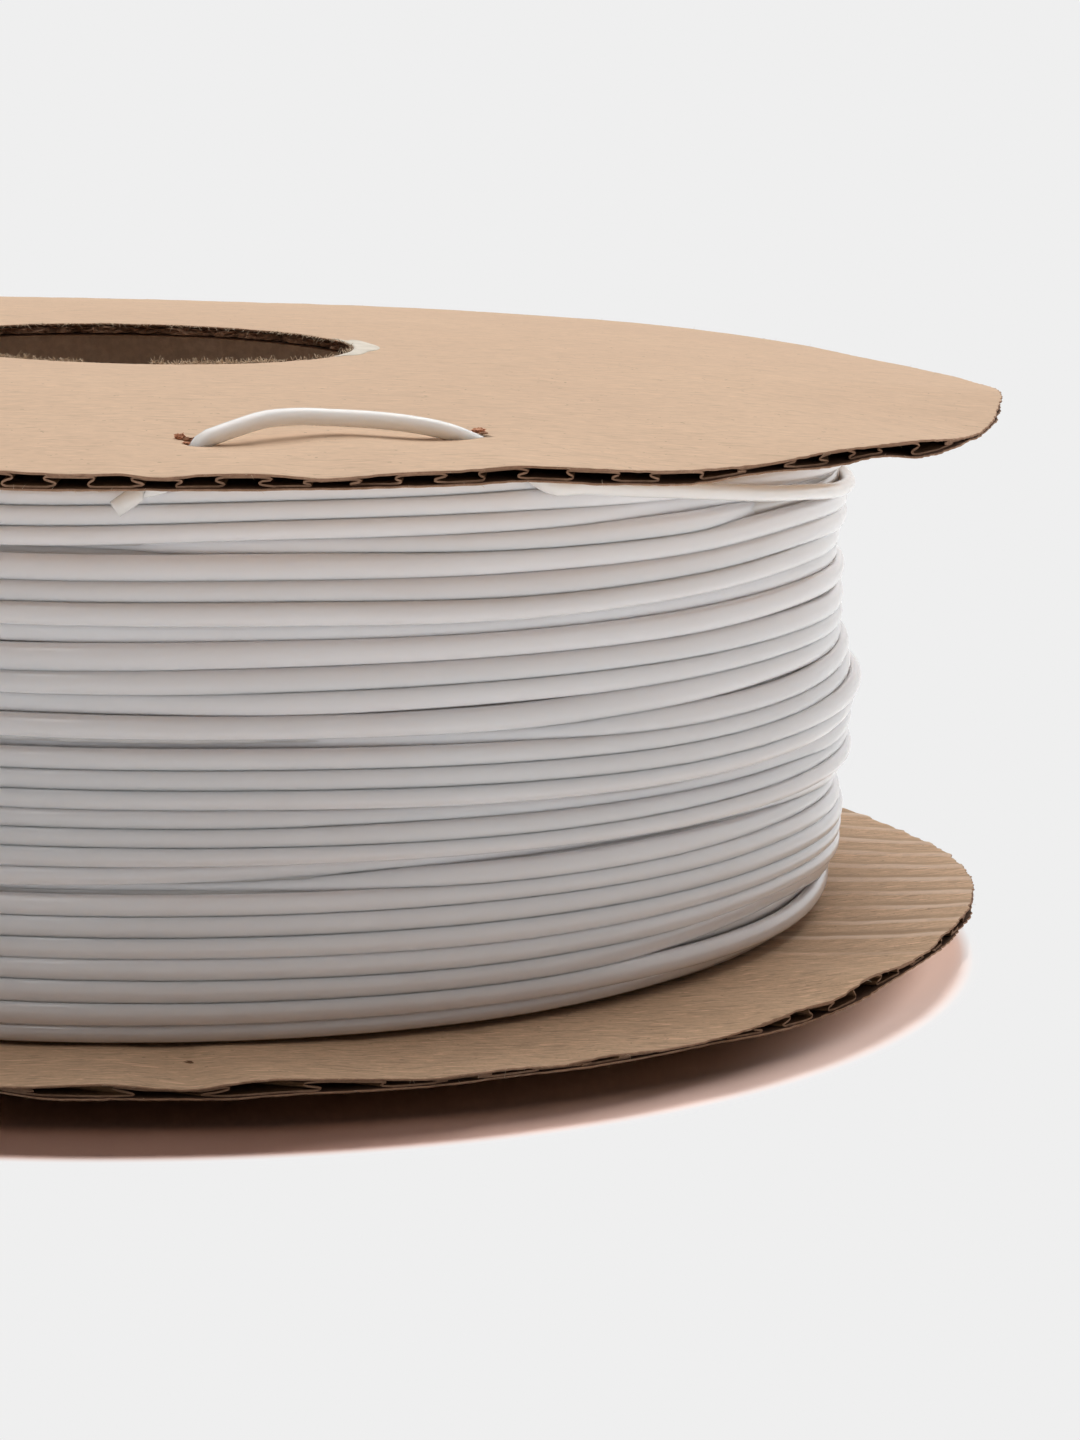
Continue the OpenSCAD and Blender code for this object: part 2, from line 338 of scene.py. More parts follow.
class Paint(Nodes):
    """A node material under construction."""

    def __init__(self, name):
        self.m = bpy.data.materials.new(name)
        super().__init__(self.m)
        self.bsdf = self.t.nodes["Principled BSDF"]
        self.coords = self.add("TexCoord").outputs["Object"]

    def measure(self, op, at, other=(0, 0, 0)):
        """A number from one or two vectors, such as a length or a dot product."""
        n = self.add("VectorMath", operation=op)
        self.link(at, n.inputs[0])
        n.inputs[1].default_value = other
        return n.outputs["Value"]

    def along(self, way):
        """How far a point lies along a direction (metres)."""
        return self.measure("DOT_PRODUCT", self.coords, way)

    def mapped(self, scale=(1, 1, 1), turn=0, shift=(0, 0, 0)):
        """The coordinates scaled, turned about Z by degrees and shifted."""
        n = self.add("Mapping", Vector=self.coords, Scale=scale, Location=shift,
                     Rotation=(0, 0, radians(turn)))
        return n.outputs["Vector"]

    def noise(self, scale, detail, rough, at=None, distortion=0.0):
        n = self.add("TexNoise", Scale=scale, Detail=detail, Roughness=rough, Distortion=distortion,
                     Vector=at or self.coords)
        return n.outputs["Fac"]

    def ramp(self, value, stops, eased=False):
        """What the (place, level or colour) stops give for a value."""
        n = self.add("ValToRGB", Fac=value)
        e = n.color_ramp.elements
        while len(e) < len(stops):
            e.new(0.5)
        for i, (place, c) in enumerate(stops):
            e[i].position = place
            e[i].color = (c, c, c, 1) if isinstance(c, (int, float)) else (*c, 1)
        if eased:
            n.color_ramp.interpolation = "EASE"
        return n.outputs["Color"]

    def mix(self, fac, a, b):
        """Colour a where fac is 0, and b where it is 1."""
        n = self.add("Mix", data_type="RGBA")
        for i, v in ((0, fac), (6, a), (7, b)):     # where a colour mix has its inputs
            self.fill(n.inputs[i], v)
        return n.outputs[2]

    def bump(self, height, strength, distance):
        n = self.add("Bump", Strength=strength, Distance=distance, Height=height)
        self.link(n.outputs["Normal"], self.bsdf.inputs["Normal"])

    def set(self, **values):
        """Values for the Principled shader's inputs, by name with _ for each space."""
        for k, v in values.items():
            self.fill(self.bsdf.inputs[k.replace("_", " ")], v)
        return self.m


def srgb(r, g, b):
    """Linear colour of an sRGB triple 0-255."""
    def one(c):
        c /= 255
        return c / 12.92 if c <= 0.04045 else ((c + 0.055) / 1.055) ** 2.4
    return (one(r), one(g), one(b))


def dimmed(colour, share):
    """The colour times a share of its brightness."""
    return tuple(c * share for c in colour)


def ridge_light_and_shade(p, tone, mid):
    """Painted highlights on the washboard crests, each with a band of painted shade beside it, on the right
    and the back of the lower board.
    """
    a = radians(FLUTES_LOW)
    wander = p.math("MULTIPLY", p.math("SUBTRACT", p.noise(30, 3, 0.5), 0.5), 0.0022)
    s = p.math("ADD", p.along((sin(a), -cos(a), 0)), wander)
    patch = p.ramp(p.noise(45, 3, 0.5), ((0.36, 0.3), (0.60, 1.0)))
    here = p.math("MULTIPLY", p.ramp(p.along((21.8, 33.6, 0)), ((0.0, 0.0), (0.45, 1.0))), patch)

    def band(centre, stops):
        phase = p.math("MULTIPLY", p.math("SUBTRACT", s, centre * MM), 2 * pi / (FLUTE_PITCH * MM))
        return p.math("MULTIPLY", p.ramp(p.math("COSINE", phase), stops), here)

    # painted shade: a darker band beside each crest
    tone = p.mix(band(-0.6, ((0.3, 0.0), (0.97, 0.8))), tone, dimmed(mid, 0.6))
    # painted highlight: a pale band on each crest
    return p.mix(band(1.5, ((0.55, 0.0), (0.98, 0.75))), tone, srgb(236, 214, 194))


def kraft(name, light, dark, along=0.0, fibre=0.48, ridges=False):
    """Kraft liner paper: clouded tone, long fibres along one way, dark and pale specks.
    With ridges it is the lower flange's paper, whose grain is finer and shorter, with painted highlights and
    painted shade along its washboard ridges."""
    p = Paint(name)
    light, dark = srgb(*light), srgb(*dark)
    mid = tuple(0.5 * (a + b) for a, b in zip(light, dark))
    dust_scale, line_scale, stretch, strongest = (2200, 850, 0.75, 0.55) if ridges else (900, 520, 0.30, 0.9)
    clouds = p.noise(28, 5, 0.6)
    dust = p.noise(dust_scale, 3, 0.6)
    lines = p.noise(line_scale, 4, 0.65, p.mapped((stretch, 1.2, 1), -along), 0.5)
    specks = p.noise(1500, 1, 0.4)

    def shown(amount):
        return min(0.9, amount * fibre)

    tone = p.mix(p.ramp(clouds, ((0.3, 0), (0.7, 1))), dark, light)
    tone = p.mix(p.ramp(lines, ((0.53, 0), (0.70, shown(strongest)))), tone, dimmed(mid, 1 - 0.22 * fibre))
    tone = p.mix(p.ramp(dust, ((0.35, 0.22 + 0.30 * ridges), (0.6, 0.0))), tone, dimmed(mid, 0.8))
    for turn, amount, hue in ((24, 0.6, dimmed(light, 1.2)), (-38, 0.7, dimmed(mid, 0.66)),
                              (75, 0.5, dimmed(mid, 0.7))):
        hair = p.noise(1500, 1, 0.4, p.mapped((0.22, 1.6, 1), turn - along), 0.8)
        tone = p.mix(p.ramp(hair, ((0.58, 0), (0.68, shown(amount)))), tone, hue)
    tone = p.mix(p.ramp(specks, ((0.73, 0), (0.77, 0.6))), tone, dimmed(mid, 0.45))
    if ridges:
        # painted highlights and painted shade along the washboard ridges
        tone = ridge_light_and_shade(p, tone, mid)
    p.bump(p.mix(0.4 + 0.35 * ridges, lines, dust), 0.35 + 0.3 * ridges, 0.00012)
    rough = p.ramp(clouds, ((0.3, 0.78), (0.7, 0.9)))
    return p.set(Base_Color=tone, Roughness=rough, Specular_IOR_Level=0.25)


def rough_paper(name, light, dark, grain=220):
    """Unbleached inner paper with open fibres: fluting, plies, torn edges."""
    p = Paint(name)
    light, dark = srgb(*light), srgb(*dark)
    big = p.noise(60, 4, 0.6)
    small = p.noise(grain * 5, 4, 0.65)
    tone = p.mix(p.ramp(big, ((0.3, 0), (0.7, 1))), dark, light)
    tone = p.mix(p.ramp(small, ((0.4, 0.35), (0.62, 0))), tone, dimmed(dark, 0.6))
    p.bump(small, 0.5, 0.00015)
    return p.set(Base_Color=tone, Roughness=0.9, Specular_IOR_Level=0.2)


def plastic(name, colour, tint):
    """Extruded filament: nearly even tone, soft gloss that varies a little, light that sinks in."""
    p = Paint(name)
    fine = p.noise(420, 3, 0.5)
    tone = p.mix(p.ramp(p.noise(35, 3, 0.5), ((0.35, 0), (0.7, 1))), srgb(*colour), srgb(*tint))
    rough = p.ramp(fine, ((0.35, 0.16), (0.7, 0.21)))
    p.bump(fine, 0.08, 0.00005)
    return p.set(Base_Color=tone, Roughness=rough, IOR=1.5, Subsurface_Weight=1.0,
                 Subsurface_Radius=(1.0, 0.95, 0.9), Subsurface_Scale=0.0012)


def glue(name, colour):
    """Dried glue: clouded, and light sinks into it a little."""
    p = Paint(name)
    cloud = p.noise(500, 4, 0.6)
    tone = p.mix(p.ramp(cloud, ((0.35, 0), (0.7, 1))), srgb(*colour), dimmed(srgb(*colour), 0.82))
    p.bump(cloud, 0.4, 0.0001)
    return p.set(Base_Color=tone, Roughness=p.ramp(cloud, ((0.3, 0.45), (0.7, 0.7))),
                 Subsurface_Weight=0.3, Subsurface_Radius=(1.0, 0.9, 0.8), Subsurface_Scale=0.0008)


TOP_KRAFT = kraft("kraft_top", (224, 193, 164), (214, 182, 153), along=0)
UNDER_KRAFT = kraft("kraft_under", (214, 182, 150), (200, 166, 134), along=20)
LOWER_KRAFT = kraft("kraft_lower", (218, 186, 155), (202, 169, 137), FLUTES_LOW, fibre=1.2, ridges=True)
BASE_KRAFT = kraft("kraft_base", (214, 180, 148), (196, 160, 128), along=3, fibre=0.8)
FLUTE_PAPER = rough_paper("flute_paper", (138, 104, 72), (100, 72, 50))
CUT_PAPER = rough_paper("cut_paper", (190, 152, 126), (150, 112, 86), 420)
# Dark paper for the liners' hidden faces and the inner liner's hub edge: painted shade inside the board, seen
# through the torn rims.
INSIDE_SHADE_PAPER = rough_paper("inside_shade_paper", (104, 76, 56), (80, 56, 42))
TORN_DARK = rough_paper("torn_dark", (232, 172, 138), (192, 132, 102), 420)
TORN_PALE = rough_paper("torn_pale", (196, 150, 120), (150, 104, 78), 420)
PALE_FIBRE = rough_paper("pale_fibre", (236, 214, 186), (214, 188, 158), 600)
TUBE_LINING = rough_paper("tube_lining", (226, 206, 188), (206, 184, 164))
TUBE_GREY = rough_paper("tube_grey", (150, 138, 124), (120, 108, 96))
TUBE_WRAP = rough_paper("tube_wrap", (190, 160, 130), (168, 138, 108))
STRAND_WHITE = plastic("strand_white", (244, 240, 240), (239, 233, 232))
STRAND_CREAM = plastic("strand_cream", (244, 241, 238), (239, 235, 230))
# A slightly darker, warmer copy of the same filament for the layers below: painted shade.
STRAND_SHADED = plastic("strand_shaded", (238, 230, 225), (230, 221, 214))
DRIED_GLUE = glue("dried_glue", (224, 211, 191))

# ------------ the four liners
# Height of each torn rim above or below the even dish (mm) at bearings. The upper board's rims share a back.
TOP_BACK = {
    95: 0, 100: -.25, 106: -.45, 112: -.5, 120: -.1, 130: .15, 150: .15, 168: -.1, 190: -.1, 214: .3,
    236: -.3, 258: .2, 284: -.4, 306: .3, 330: -.1}
TOP_OUTER_RIM = {
    -7: 0, -3: -.08, -.7: .1, 1.4: -.2, 3.5: .1, 7.7: .06, 9.9: -.3, 14.3: .1, 18: .2, 21.3: .5,
    23.8: .27, 26.4: -.07, 29: -.34, 31.8: -.55, 34.8: -.63, 38: -.55, 41.4: -.16, 45.2: .08, 49.5: .04,
    54.7: -.25, 61.5: -1.15, 65: -1.4, 68: -1.45, 70: -1.2, 72: -.9, 74: -.55, 76: -.25, 78: .1, 80: .45,
    82: .65, 84: .65, 86: .5, 90: .25, **TOP_BACK, 344: .15}
TOP_INNER_RIM = {
    -7: -.27, 1.4: .08, 6: .1, 12: .13, 16.6: .2, 18.9: .3, 21.3: .46, 23.8: .24, 26.4: -.11, 29: -.3,
    33: -.56, 38: 0, 45: -.05, 49.5: .27, 54.7: -.6, 58: -.75, 60: -.65, 62: -.5, 64: -.4, 66: -.45,
    68: -.35, 70: -.2, 72: 0, 74: .1, 78: .3, 82: .5, 86: .4, 90: .2, **TOP_BACK, 344: -.1}
LOW_INNER_RIM = {
    -6.9: -.44, -4.7: -.3, -.6: 0, 1.8: -.38, 3.4: -.52, 5.6: .05, 8.1: .39, 10.6: .2, 12.8: 0, 16.9: -.4,
    19.6: -.25, 22.5: -.14, 25.5: -.46, 27.9: -.18, 33.5: -.42, 37.2: -.25, 40.7: .13, 43.8: .62,
    47.5: .53, 51.4: 1.5, 56.2: 1.2, 60: 1.3, 64.8: 1.9, 72: 1.7, 80: 1.2, 88: .6, 96: -.2, 104: -.9,
    112: -1.1, 124: -.7, 150: .2, 180: -.2, 210: .3, 236: -.2, 262: .4, 290: .1, 318: .5, 340: 0}
LOW_OUTER_RIM = {
    -6.9: .14, -5: -.25, 0: -.25, 3.4: -.23, 5.6: -.3, 8.1: -.1, 16.9: 0, 22.5: .24, 27.9: .2, 33.5: .36,
    36.4: .42, 40.4: .2, 43.8: .1, 51.4: .7, 55.4: 1.3, 60: 1.6, 68.7: 1.7, 76: 1.4, 84: .9, 92: .3,
    100: -.1, 108: -.8, 116: -.9, 124: -.6, 150: .2, 180: -.1, 210: .3, 236: -.1, 262: .4, 290: .2,
    318: .5, 340: .1}
HOLLOWS = ((8.5, -80.9), (29.6, -74.5))          # middles of the two hollows, one at each end of the arch


def strand_hollows(x, y):
    """How far the upper liner is pressed down where the strand goes through it."""
    return sum(0.75 * np.exp(-((x - u) ** 2 + (y - v) ** 2) / 40) for u, v in HOLLOWS)


class Board:
    """The two facing surfaces of one flange's board, outer and inner, with their warps."""

    def __init__(self, upper, outer_rim, inner_rim, angle, seed):
        self.upper, self.angle, self.seed = upper, angle, seed
        self.outer_rim, self.inner_rim = outer_rim, inner_rim

    def bend(self, rim, x, y):
        """How far the board is bent up at a point, from its rim inwards."""
        r = np.hypot(x, y)
        bearing = np.degrees(np.arctan2(x, -y))
        lift = around(rim, bearing) * np.clip((r - 66) / 34, 0, None) ** 2.2
        return lift + 0.05 * blotches(self.seed, x, y, 9, 26) * smooth(r, 45, 70)

    def washboard(self, x, y, amount):
        """Ridges that the crushed flutes press into the liner: narrow crests, wide shallow valleys."""
        a = radians(self.angle)
        s = x * sin(a) - y * cos(a) + 0.5 * blotches(self.seed + 3, x, y, 4, 50)

        def wave(shift, narrow):
            return (0.5 + 0.5 * np.cos(2 * pi * (s - shift) / FLUTE_PITCH)) ** narrow

        bearing = np.degrees(np.arctan2(x, -y))
        b = np.where(bearing < -90, bearing + 360, bearing)
        right_and_back = 0.12 + 0.88 * smooth(b, 48, 66) * (1 - 0.5 * smooth(b, 150, 200))
        strength = np.clip(0.75 + 0.35 * blotches(self.seed + 5, x, y, 7, 30), 0.1, 1.3)
        ridges = amount * (1.5 * wave(1.4, 2.6) + 0.6 * wave(5.3, 4) - 0.35)
        return ridges * strength * (0.5 if self.upper else right_and_back)

    def outer(self, x, y):
        """Height of the side that faces away from the winding."""
        r, bend = np.hypot(x, y), self.bend(self.outer_rim, x, y)
        if self.upper:
            ridges = self.washboard(x, y, 0.03)
            return OVERALL_W - dished(r, TOP_DISH) + bend + ridges - 0.05 - strand_hollows(x, y)
        return 0.12 + dished(r, BOTTOM_DISH) + bend + 0.12 * smooth(r, 40, 60) - self.washboard(x, y, 0.04)

    def inner(self, x, y):
        """Height of the side that faces the winding."""
        r, bend = np.hypot(x, y), self.bend(self.inner_rim, x, y)
        if self.upper:
            return OVERALL_W - BOARD_T - dished(r, TOP_DISH) + bend - self.washboard(x, y, 0.04) - 0.02
        return BOARD_T + dished(r, BOTTOM_DISH) + bend + self.washboard(x, y, 0.2)

    def room(self, x, y, spare):
        """Lowest and highest height between the two liners, less something to spare at each."""
        heights = self.outer(x, y), self.inner(x, y)
        low, high = heights[::-1] if self.upper else heights
        return low + LINER_T + spare, high - LINER_T - spare


TOP_BOARD = Board(True, TOP_OUTER_RIM, TOP_INNER_RIM, FLUTES_TOP, 11)
LOW_BOARD = Board(False, LOW_OUTER_RIM, LOW_INNER_RIM, FLUTES_LOW, 23)


def torn_radius(edge_r, seed, amount, n):
    """Radius of a torn paper edge at n bearings."""
    a = circle(n)
    r = amount * (0.5 * ripple(seed, a, 14, 9, 60) + 0.5 * ripple(seed + 1, a, 24, 60, 400))
    return edge_r + np.clip(r, -2.2 * amount, 1.6 * amount)


def liner(name, board, outer_side, face, node, seed, hole_in=0.0):
    """One liner: a thin closed sheet with a torn rim and a torn hub hole, which hole_in makes wider."""
    surface = board.outer if outer_side else board.inner
    sign = (1 if board.upper else -1) * (1 if outer_side else -1)   # the seen side's direction
    tear = 0.14
    rim = torn_radius(FLANGE_R - 0.1, seed, tear, FINE)
    grown, middle, spread = (0.6, 85, 7) if board.upper else (0.5, 104, 14)      # the rim bulges here
    rim = rim + grown * np.exp(-((circle(FINE, 360) - middle) / spread) ** 2)
    hole = torn_radius(HOLE_R + 0.2 + hole_in, seed + 7, tear, COARSE)
    hole = hole + 0.10 * ripple(seed + 8, circle(COARSE), 9, 5, 22)
    body = np.concatenate([np.linspace(27, 45, 6), np.linspace(47.5, 96, 29)])

    def ring(r, n, depth, _):
        p = polar(r, circle(n, 360), 0.0)
        ragged = 0.02 * blotches(seed + 9, p[:, 0], p[:, 1], 6, 3)
        p[:, 2] = surface(p[:, 0], p[:, 1]) - sign * LINER_T * depth + ragged * (depth == 0)
        return p

    # Each step: radius, points, depth into the sheet (0 to 1), and kind of face (0 seen, 1 torn, 2 hidden,
    # which gets dark paper as painted shade inside the board).
    steps = [(hole + d, COARSE, deep, kind) for d, deep, kind in ((0, 0.45, 1), (0.1, 0.05, 0), (0.6, 0, 0))]
    steps += [(r, COARSE, 0, 0) for r in body]
    steps += [(rim - d, FINE, deep, kind) for d, deep, kind in
              ((2.6, 0, 0), (1.4, 0, 0), (0.6, 0, 0), (0.10, 0.06, 1), (0, 0.45, 1), (0.08, 0.94, 2),
               (0.7, 1, 2), (2.4, 1, 2))]
    steps += [(r, COARSE, 1, 2) for r in (95, 88, 80, 70, 58, 45, 34)]
    steps += [(hole + 0.6, COARSE, 1, 2), (hole + 0.08, COARSE, 0.95, 1 if outer_side else 2)]
    v, f, kinds = rings_mesh([ring(*step) for step in steps], True, [step[3] for step in steps])
    return piece(name, v, f, [face, CUT_PAPER, INSIDE_SHADE_PAPER], node, kinds=kinds)


# ------------ crushed fluting
# Where the walls of the crushed medium stand in the seen part of each rim: distance across the flutes (mm).
TOP_WALLS = [6.1, 9.9, 14.1, 17.9, 21.6, 25.7, 29.5, 33.9, 37.8, 41.6, 45.4, 49.2, 53.6, 57.9, 61.6, 66.2,
             70.1, 74.9, 78.4, 84.4, 88.4, 92.4, 96.2]
LOW_WALLS = [-98.3, -94.4, -90.5, -3.3, 1.4, 4.9, 8.4, 11.8, 15.9, 20.3, 25.7, 30.2, 33.9, 37.6, 41.8, 45.9,
             50.0, 53.7, 57.6, 61.4, 65.7, 69.8, 73.0, 76.9, 81.3, 86.3, 90.3, 94.0, 97.6]


def wall_places(seen):
    """The seen walls, with evenly spread ones where none was seen."""
    places = [seen[0]]
    for a in seen[1:]:
        steps = max(1, round((a - places[-1]) / (FLUTE_PITCH / 2)))
        places += list(np.linspace(places[-1], a, steps + 1)[1:])
    while places[0] > -FLANGE_R + FLUTE_PITCH / 2:
        places.insert(0, places[0] - FLUTE_PITCH / 2)
    while places[-1] < FLANGE_R - FLUTE_PITCH / 2:
        places.append(places[-1] + FLUTE_PITCH / 2)
    return np.array(places)


# One folded wall, from its foot: across (mm) and height (0 to 1).
FOLD = [(-0.95, 0.0), (-0.45, 0.0), (0.05, 0.03), (0.36, 0.13), (0.47, 0.25), (0.36, 0.36), (0.08, 0.45),
        (-0.18, 0.54), (-0.36, 0.65), (-0.38, 0.77), (-0.18, 0.90), (0.22, 0.98), (0.60, 1.0), (0.95, 1.0)]


def medium_section(walls, seed):
    """The crushed medium across the flutes: distance (mm) and height (0 to 1)."""
    rng = np.random.default_rng(seed)
    s, h = [], []
    for i, place in enumerate(walls):
        fold, wide, lean = rng.uniform(0.4, 1.5), rng.uniform(0.8, 1.35), rng.uniform(-0.45, 0.45)
        rise = rng.uniform(-0.10, 0.10)
        for a, z in FOLD:
            inner = 0.0 < z < 1.0
            s.append(place + a * (fold if inner else wide) + lean * (z - 0.5))
            height = min(1, max(0, z + rise * inner))
            h.append(height if i % 2 == 0 else 1 - height)
    return np.array(s), np.array(h)


def crushed_hole(board, seed):
    """The medium punched down round the hub hole: a lumpy band that closes the gap between the liners."""
    outline = [(0.9, 0.06), (0.35, 0.05), (0.05, 0.2), (0.0, 0.4), (0.1, 0.62), (0.02, 0.8), (0.35, 0.95),
               (0.9, 0.94), (1.1, 0.5)]                         # outwards (mm) and height (0 to 1)
    b, a = circle(COARSE, 360), np.radians(circle(COARSE, 360))
    rings = []
    for k, (d, h) in enumerate(outline):
        lump = 0.22 * ripple(seed + k, a, 14, 12, 150) + 0.2 * ripple(seed + 20, a, 8, 8, 50)
        p = polar(HOLE_R + 0.65 + d + lump, b, 0.0)
        low, high = board.room(p[:, 0], p[:, 1], 0.02)
        p[:, 2] = low + (high - low) * h
        rings.append(p)
    return rings_mesh(rings, True)


def thick_sheet(p, thickness):
    """Closed sheet round a grid of points, with kind 1 for the faces of its cut edge and 0 for the rest."""
    m, n = p.shape[:2]
    nrm = np.cross(np.gradient(p, axis=0), np.gradient(p, axis=1))
    nrm /= np.maximum(np.linalg.norm(nrm, axis=2, keepdims=True), 1e-9)
    v = np.concatenate([(p + nrm * thickness / 2).reshape(-1, 3), (p - nrm * thickness / 2).reshape(-1, 3)])
    i, j = np.meshgrid(np.arange(m - 1), np.arange(n - 1), indexing="ij")
    q = (i * n + j).ravel()
    top = np.stack([q, q + n, q + n + 1, q + 1], -1)
    low = top[:, ::-1] + m * n
    rim = np.concatenate([np.arange(n), np.arange(1, m) * n + n - 1, (m - 1) * n + np.arange(n - 2, -1, -1),
                          np.arange(m - 2, 0, -1) * n])
    following = np.roll(rim, -1)
    side = np.stack([rim, following, following + m * n, rim + m * n], -1)
    return v, np.concatenate([top, low, side]).tolist(), [0] * (len(top) * 2) + [1] * len(side)


def fluting(name, board, node, walls, seed):
    """The crushed medium between two liners, torn at the rim and punched down at the hub hole."""
    s, h = medium_section(wall_places(walls), seed)
    keep = np.abs(s) < FLANGE_R - 1.2
    s, h = s[keep], h[keep]
    rng = np.random.default_rng(seed + 1)

    def torn():
        return np.convolve(rng.normal(size=len(s)), np.ones(5) / 3, "same")

    edge = FLANGE_R - 0.34 - 0.3 * np.clip(0.5 + 0.5 * torn(), 0, 2)
    hole = HOLE_R + 2.2 + 0.3 * np.clip(torn(), -1, 1.5)
    far = np.sqrt(np.maximum(edge ** 2 - s ** 2, 0.04))
    near = np.sqrt(np.maximum(hole ** 2 - s ** 2, 0))
    even = np.concatenate([[0, 0.003, 0.012, 0.05], np.linspace(0.12, 0.88, 9), [0.95, 0.988, 0.997, 1]])
    c, d = cos(radians(board.angle)), sin(radians(board.angle))

    def sheet(start, end, part):
        """The medium's folds given by part, from start to end along the flutes."""
        t = start[:, None] + (end - start)[:, None] * even[None]
        across = np.repeat(s[part][:, None], len(even), 1)
        x, y = t * c + across * d, t * d - across * c
        low, high = board.room(x, y, PAPER_T / 2 + 0.01)
        z = low + np.maximum(high - low, 0.05) * h[part][:, None]
        return thick_sheet(np.stack([x, y, z], -1), PAPER_T)

    first, last = np.where(np.abs(s) < HOLE_R + 0.45)[0][[0, -1]]
    left, mid, right = np.arange(0, first + 1), np.arange(first, last + 1), np.arange(last, len(s))
    sheets = [sheet(-far[left], far[left], left), sheet(-far[mid], -near[mid] - 0.05, mid),
              sheet(near[mid] + 0.05, far[mid], mid), sheet(-far[right], far[right], right)]
    band = crushed_hole(board, seed + 2)
    v, f = join([part[:2] for part in sheets] + [band])
    kinds = sum((part[2] for part in sheets), []) + [1] * len(band[1])
    return piece(name, v, f, [FLUTE_PAPER, CUT_PAPER], node, shade=False, kinds=kinds)


# ------------ core tube and glue
def lathe(profile, n, wobble=None):
    """Closed body of revolution of a closed (r, z) outline."""
    b = circle(n, 360)
    rings = []
    for i, (r, z) in enumerate(profile):
        r, z = wobble(i, b, r, z) if wobble else (r, z)
        rings.append(polar(r, b, z))
    return rings_mesh(rings, True)


def between_flanges(r):
    """Heights of the two flanges' inner sides at radius r, as they were before they warped."""
    return BOARD_T + float(dished(r, BOTTOM_DISH)), OVERALL_W - BOARD_T - float(dished(r, TOP_DISH))


def tube_lining():
    """Inner ply of the tube: one strip of paper wound on a slant, its seam a small step."""
    low, high = between_flanges(TUBE_R + 1.5)
    b = circle(240, 360)
    seam_rise = 58.0                    # height of one turn of the strip
    inner, outer = [], []
    for z in np.linspace(low, high, 40):
        seam = (b + (z - low) / seam_rise * 360) % 360
        step = 0.10 * np.exp(-seam / 9.0) + 0.03 * np.sin(np.radians(2 * b))
        inner.append(polar(TUBE_BORE_R + 0.06 - step, b, z))
        outer.append(polar(TUBE_BORE_R + PLY_T - 0.02, b, z))
    v, f = rings_mesh(inner + outer[::-1], True)
    return piece("tube_lining_strip", v, f, TUBE_LINING, "core_tube_inner_ply")


def glue_bead(name, node, upper, seed):
    """Squeezed-out glue along the tube's foot."""
    foot, up = (between_flanges(TUBE_R + 1.5)[1], -1) if upper else (between_flanges(TUBE_R + 1.5)[0], 1)
    corner = [(0.02, 0.0), (1.35, 0.0), (1.0, 0.35), (0.55, 0.8), (0.25, 1.3), (0.02, 1.45)]

    def lumps(i, b, r, z):
        k = np.clip(1 - 0.22 * (1 + ripple(seed, np.radians(b), 12, 6, 40) * 0.6) * (i > 0), 0.4, 1)
        return TUBE_R + (r - TUBE_R) * k, foot + (z - foot) * k

    v, f = lathe([(TUBE_R + a, foot + up * b) for a, b in corner], 300, lumps)
    return piece(name, v, f, DRIED_GLUE, node)


def glue_smear():
    """Thin dried film of glue on the hub hole's edge."""
    lo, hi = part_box("glue_smear")
    lo, hi = np.array(lo) / MM, np.array(hi) / MM
    c = (lo + hi) / 2
    a = atan2(c[1], c[0])
    half_length, outwards, inwards, middle = 11.0, 2.3, 0.5, HOLE_R + 0.75
    n = 64
    t = circle(n)
    lobes = 1 + 0.14 * np.sin(3 * t + 0.6) + 0.09 * np.sin(7 * t + 2.0)
    rings = []
    for k, h in ((1.0, 0.0), (0.97, 0.05), (0.85, 0.10), (0.6, 0.13), (0.3, 0.14), (0.03, 0.14)):
        u = np.where(np.cos(t) > 0, outwards, inwards) * k * lobes * np.cos(t)
        w = half_length * k * lobes * np.sin(t)
        x, y = (middle + u) * np.cos(a + w / middle), (middle + u) * np.sin(a + w / middle)
        rings.append(np.stack([x, y, TOP_BOARD.outer(x, y) + h + 0.01], -1))
    under = rings[0] - [0, 0, 0.05]
    v, f = rings_mesh([under] + rings, False)
    f += [list(range(len(v) - n, len(v))), list(range(n))[::-1]]
    return piece("glue_film", v, f, DRIED_GLUE, "glue_smear")


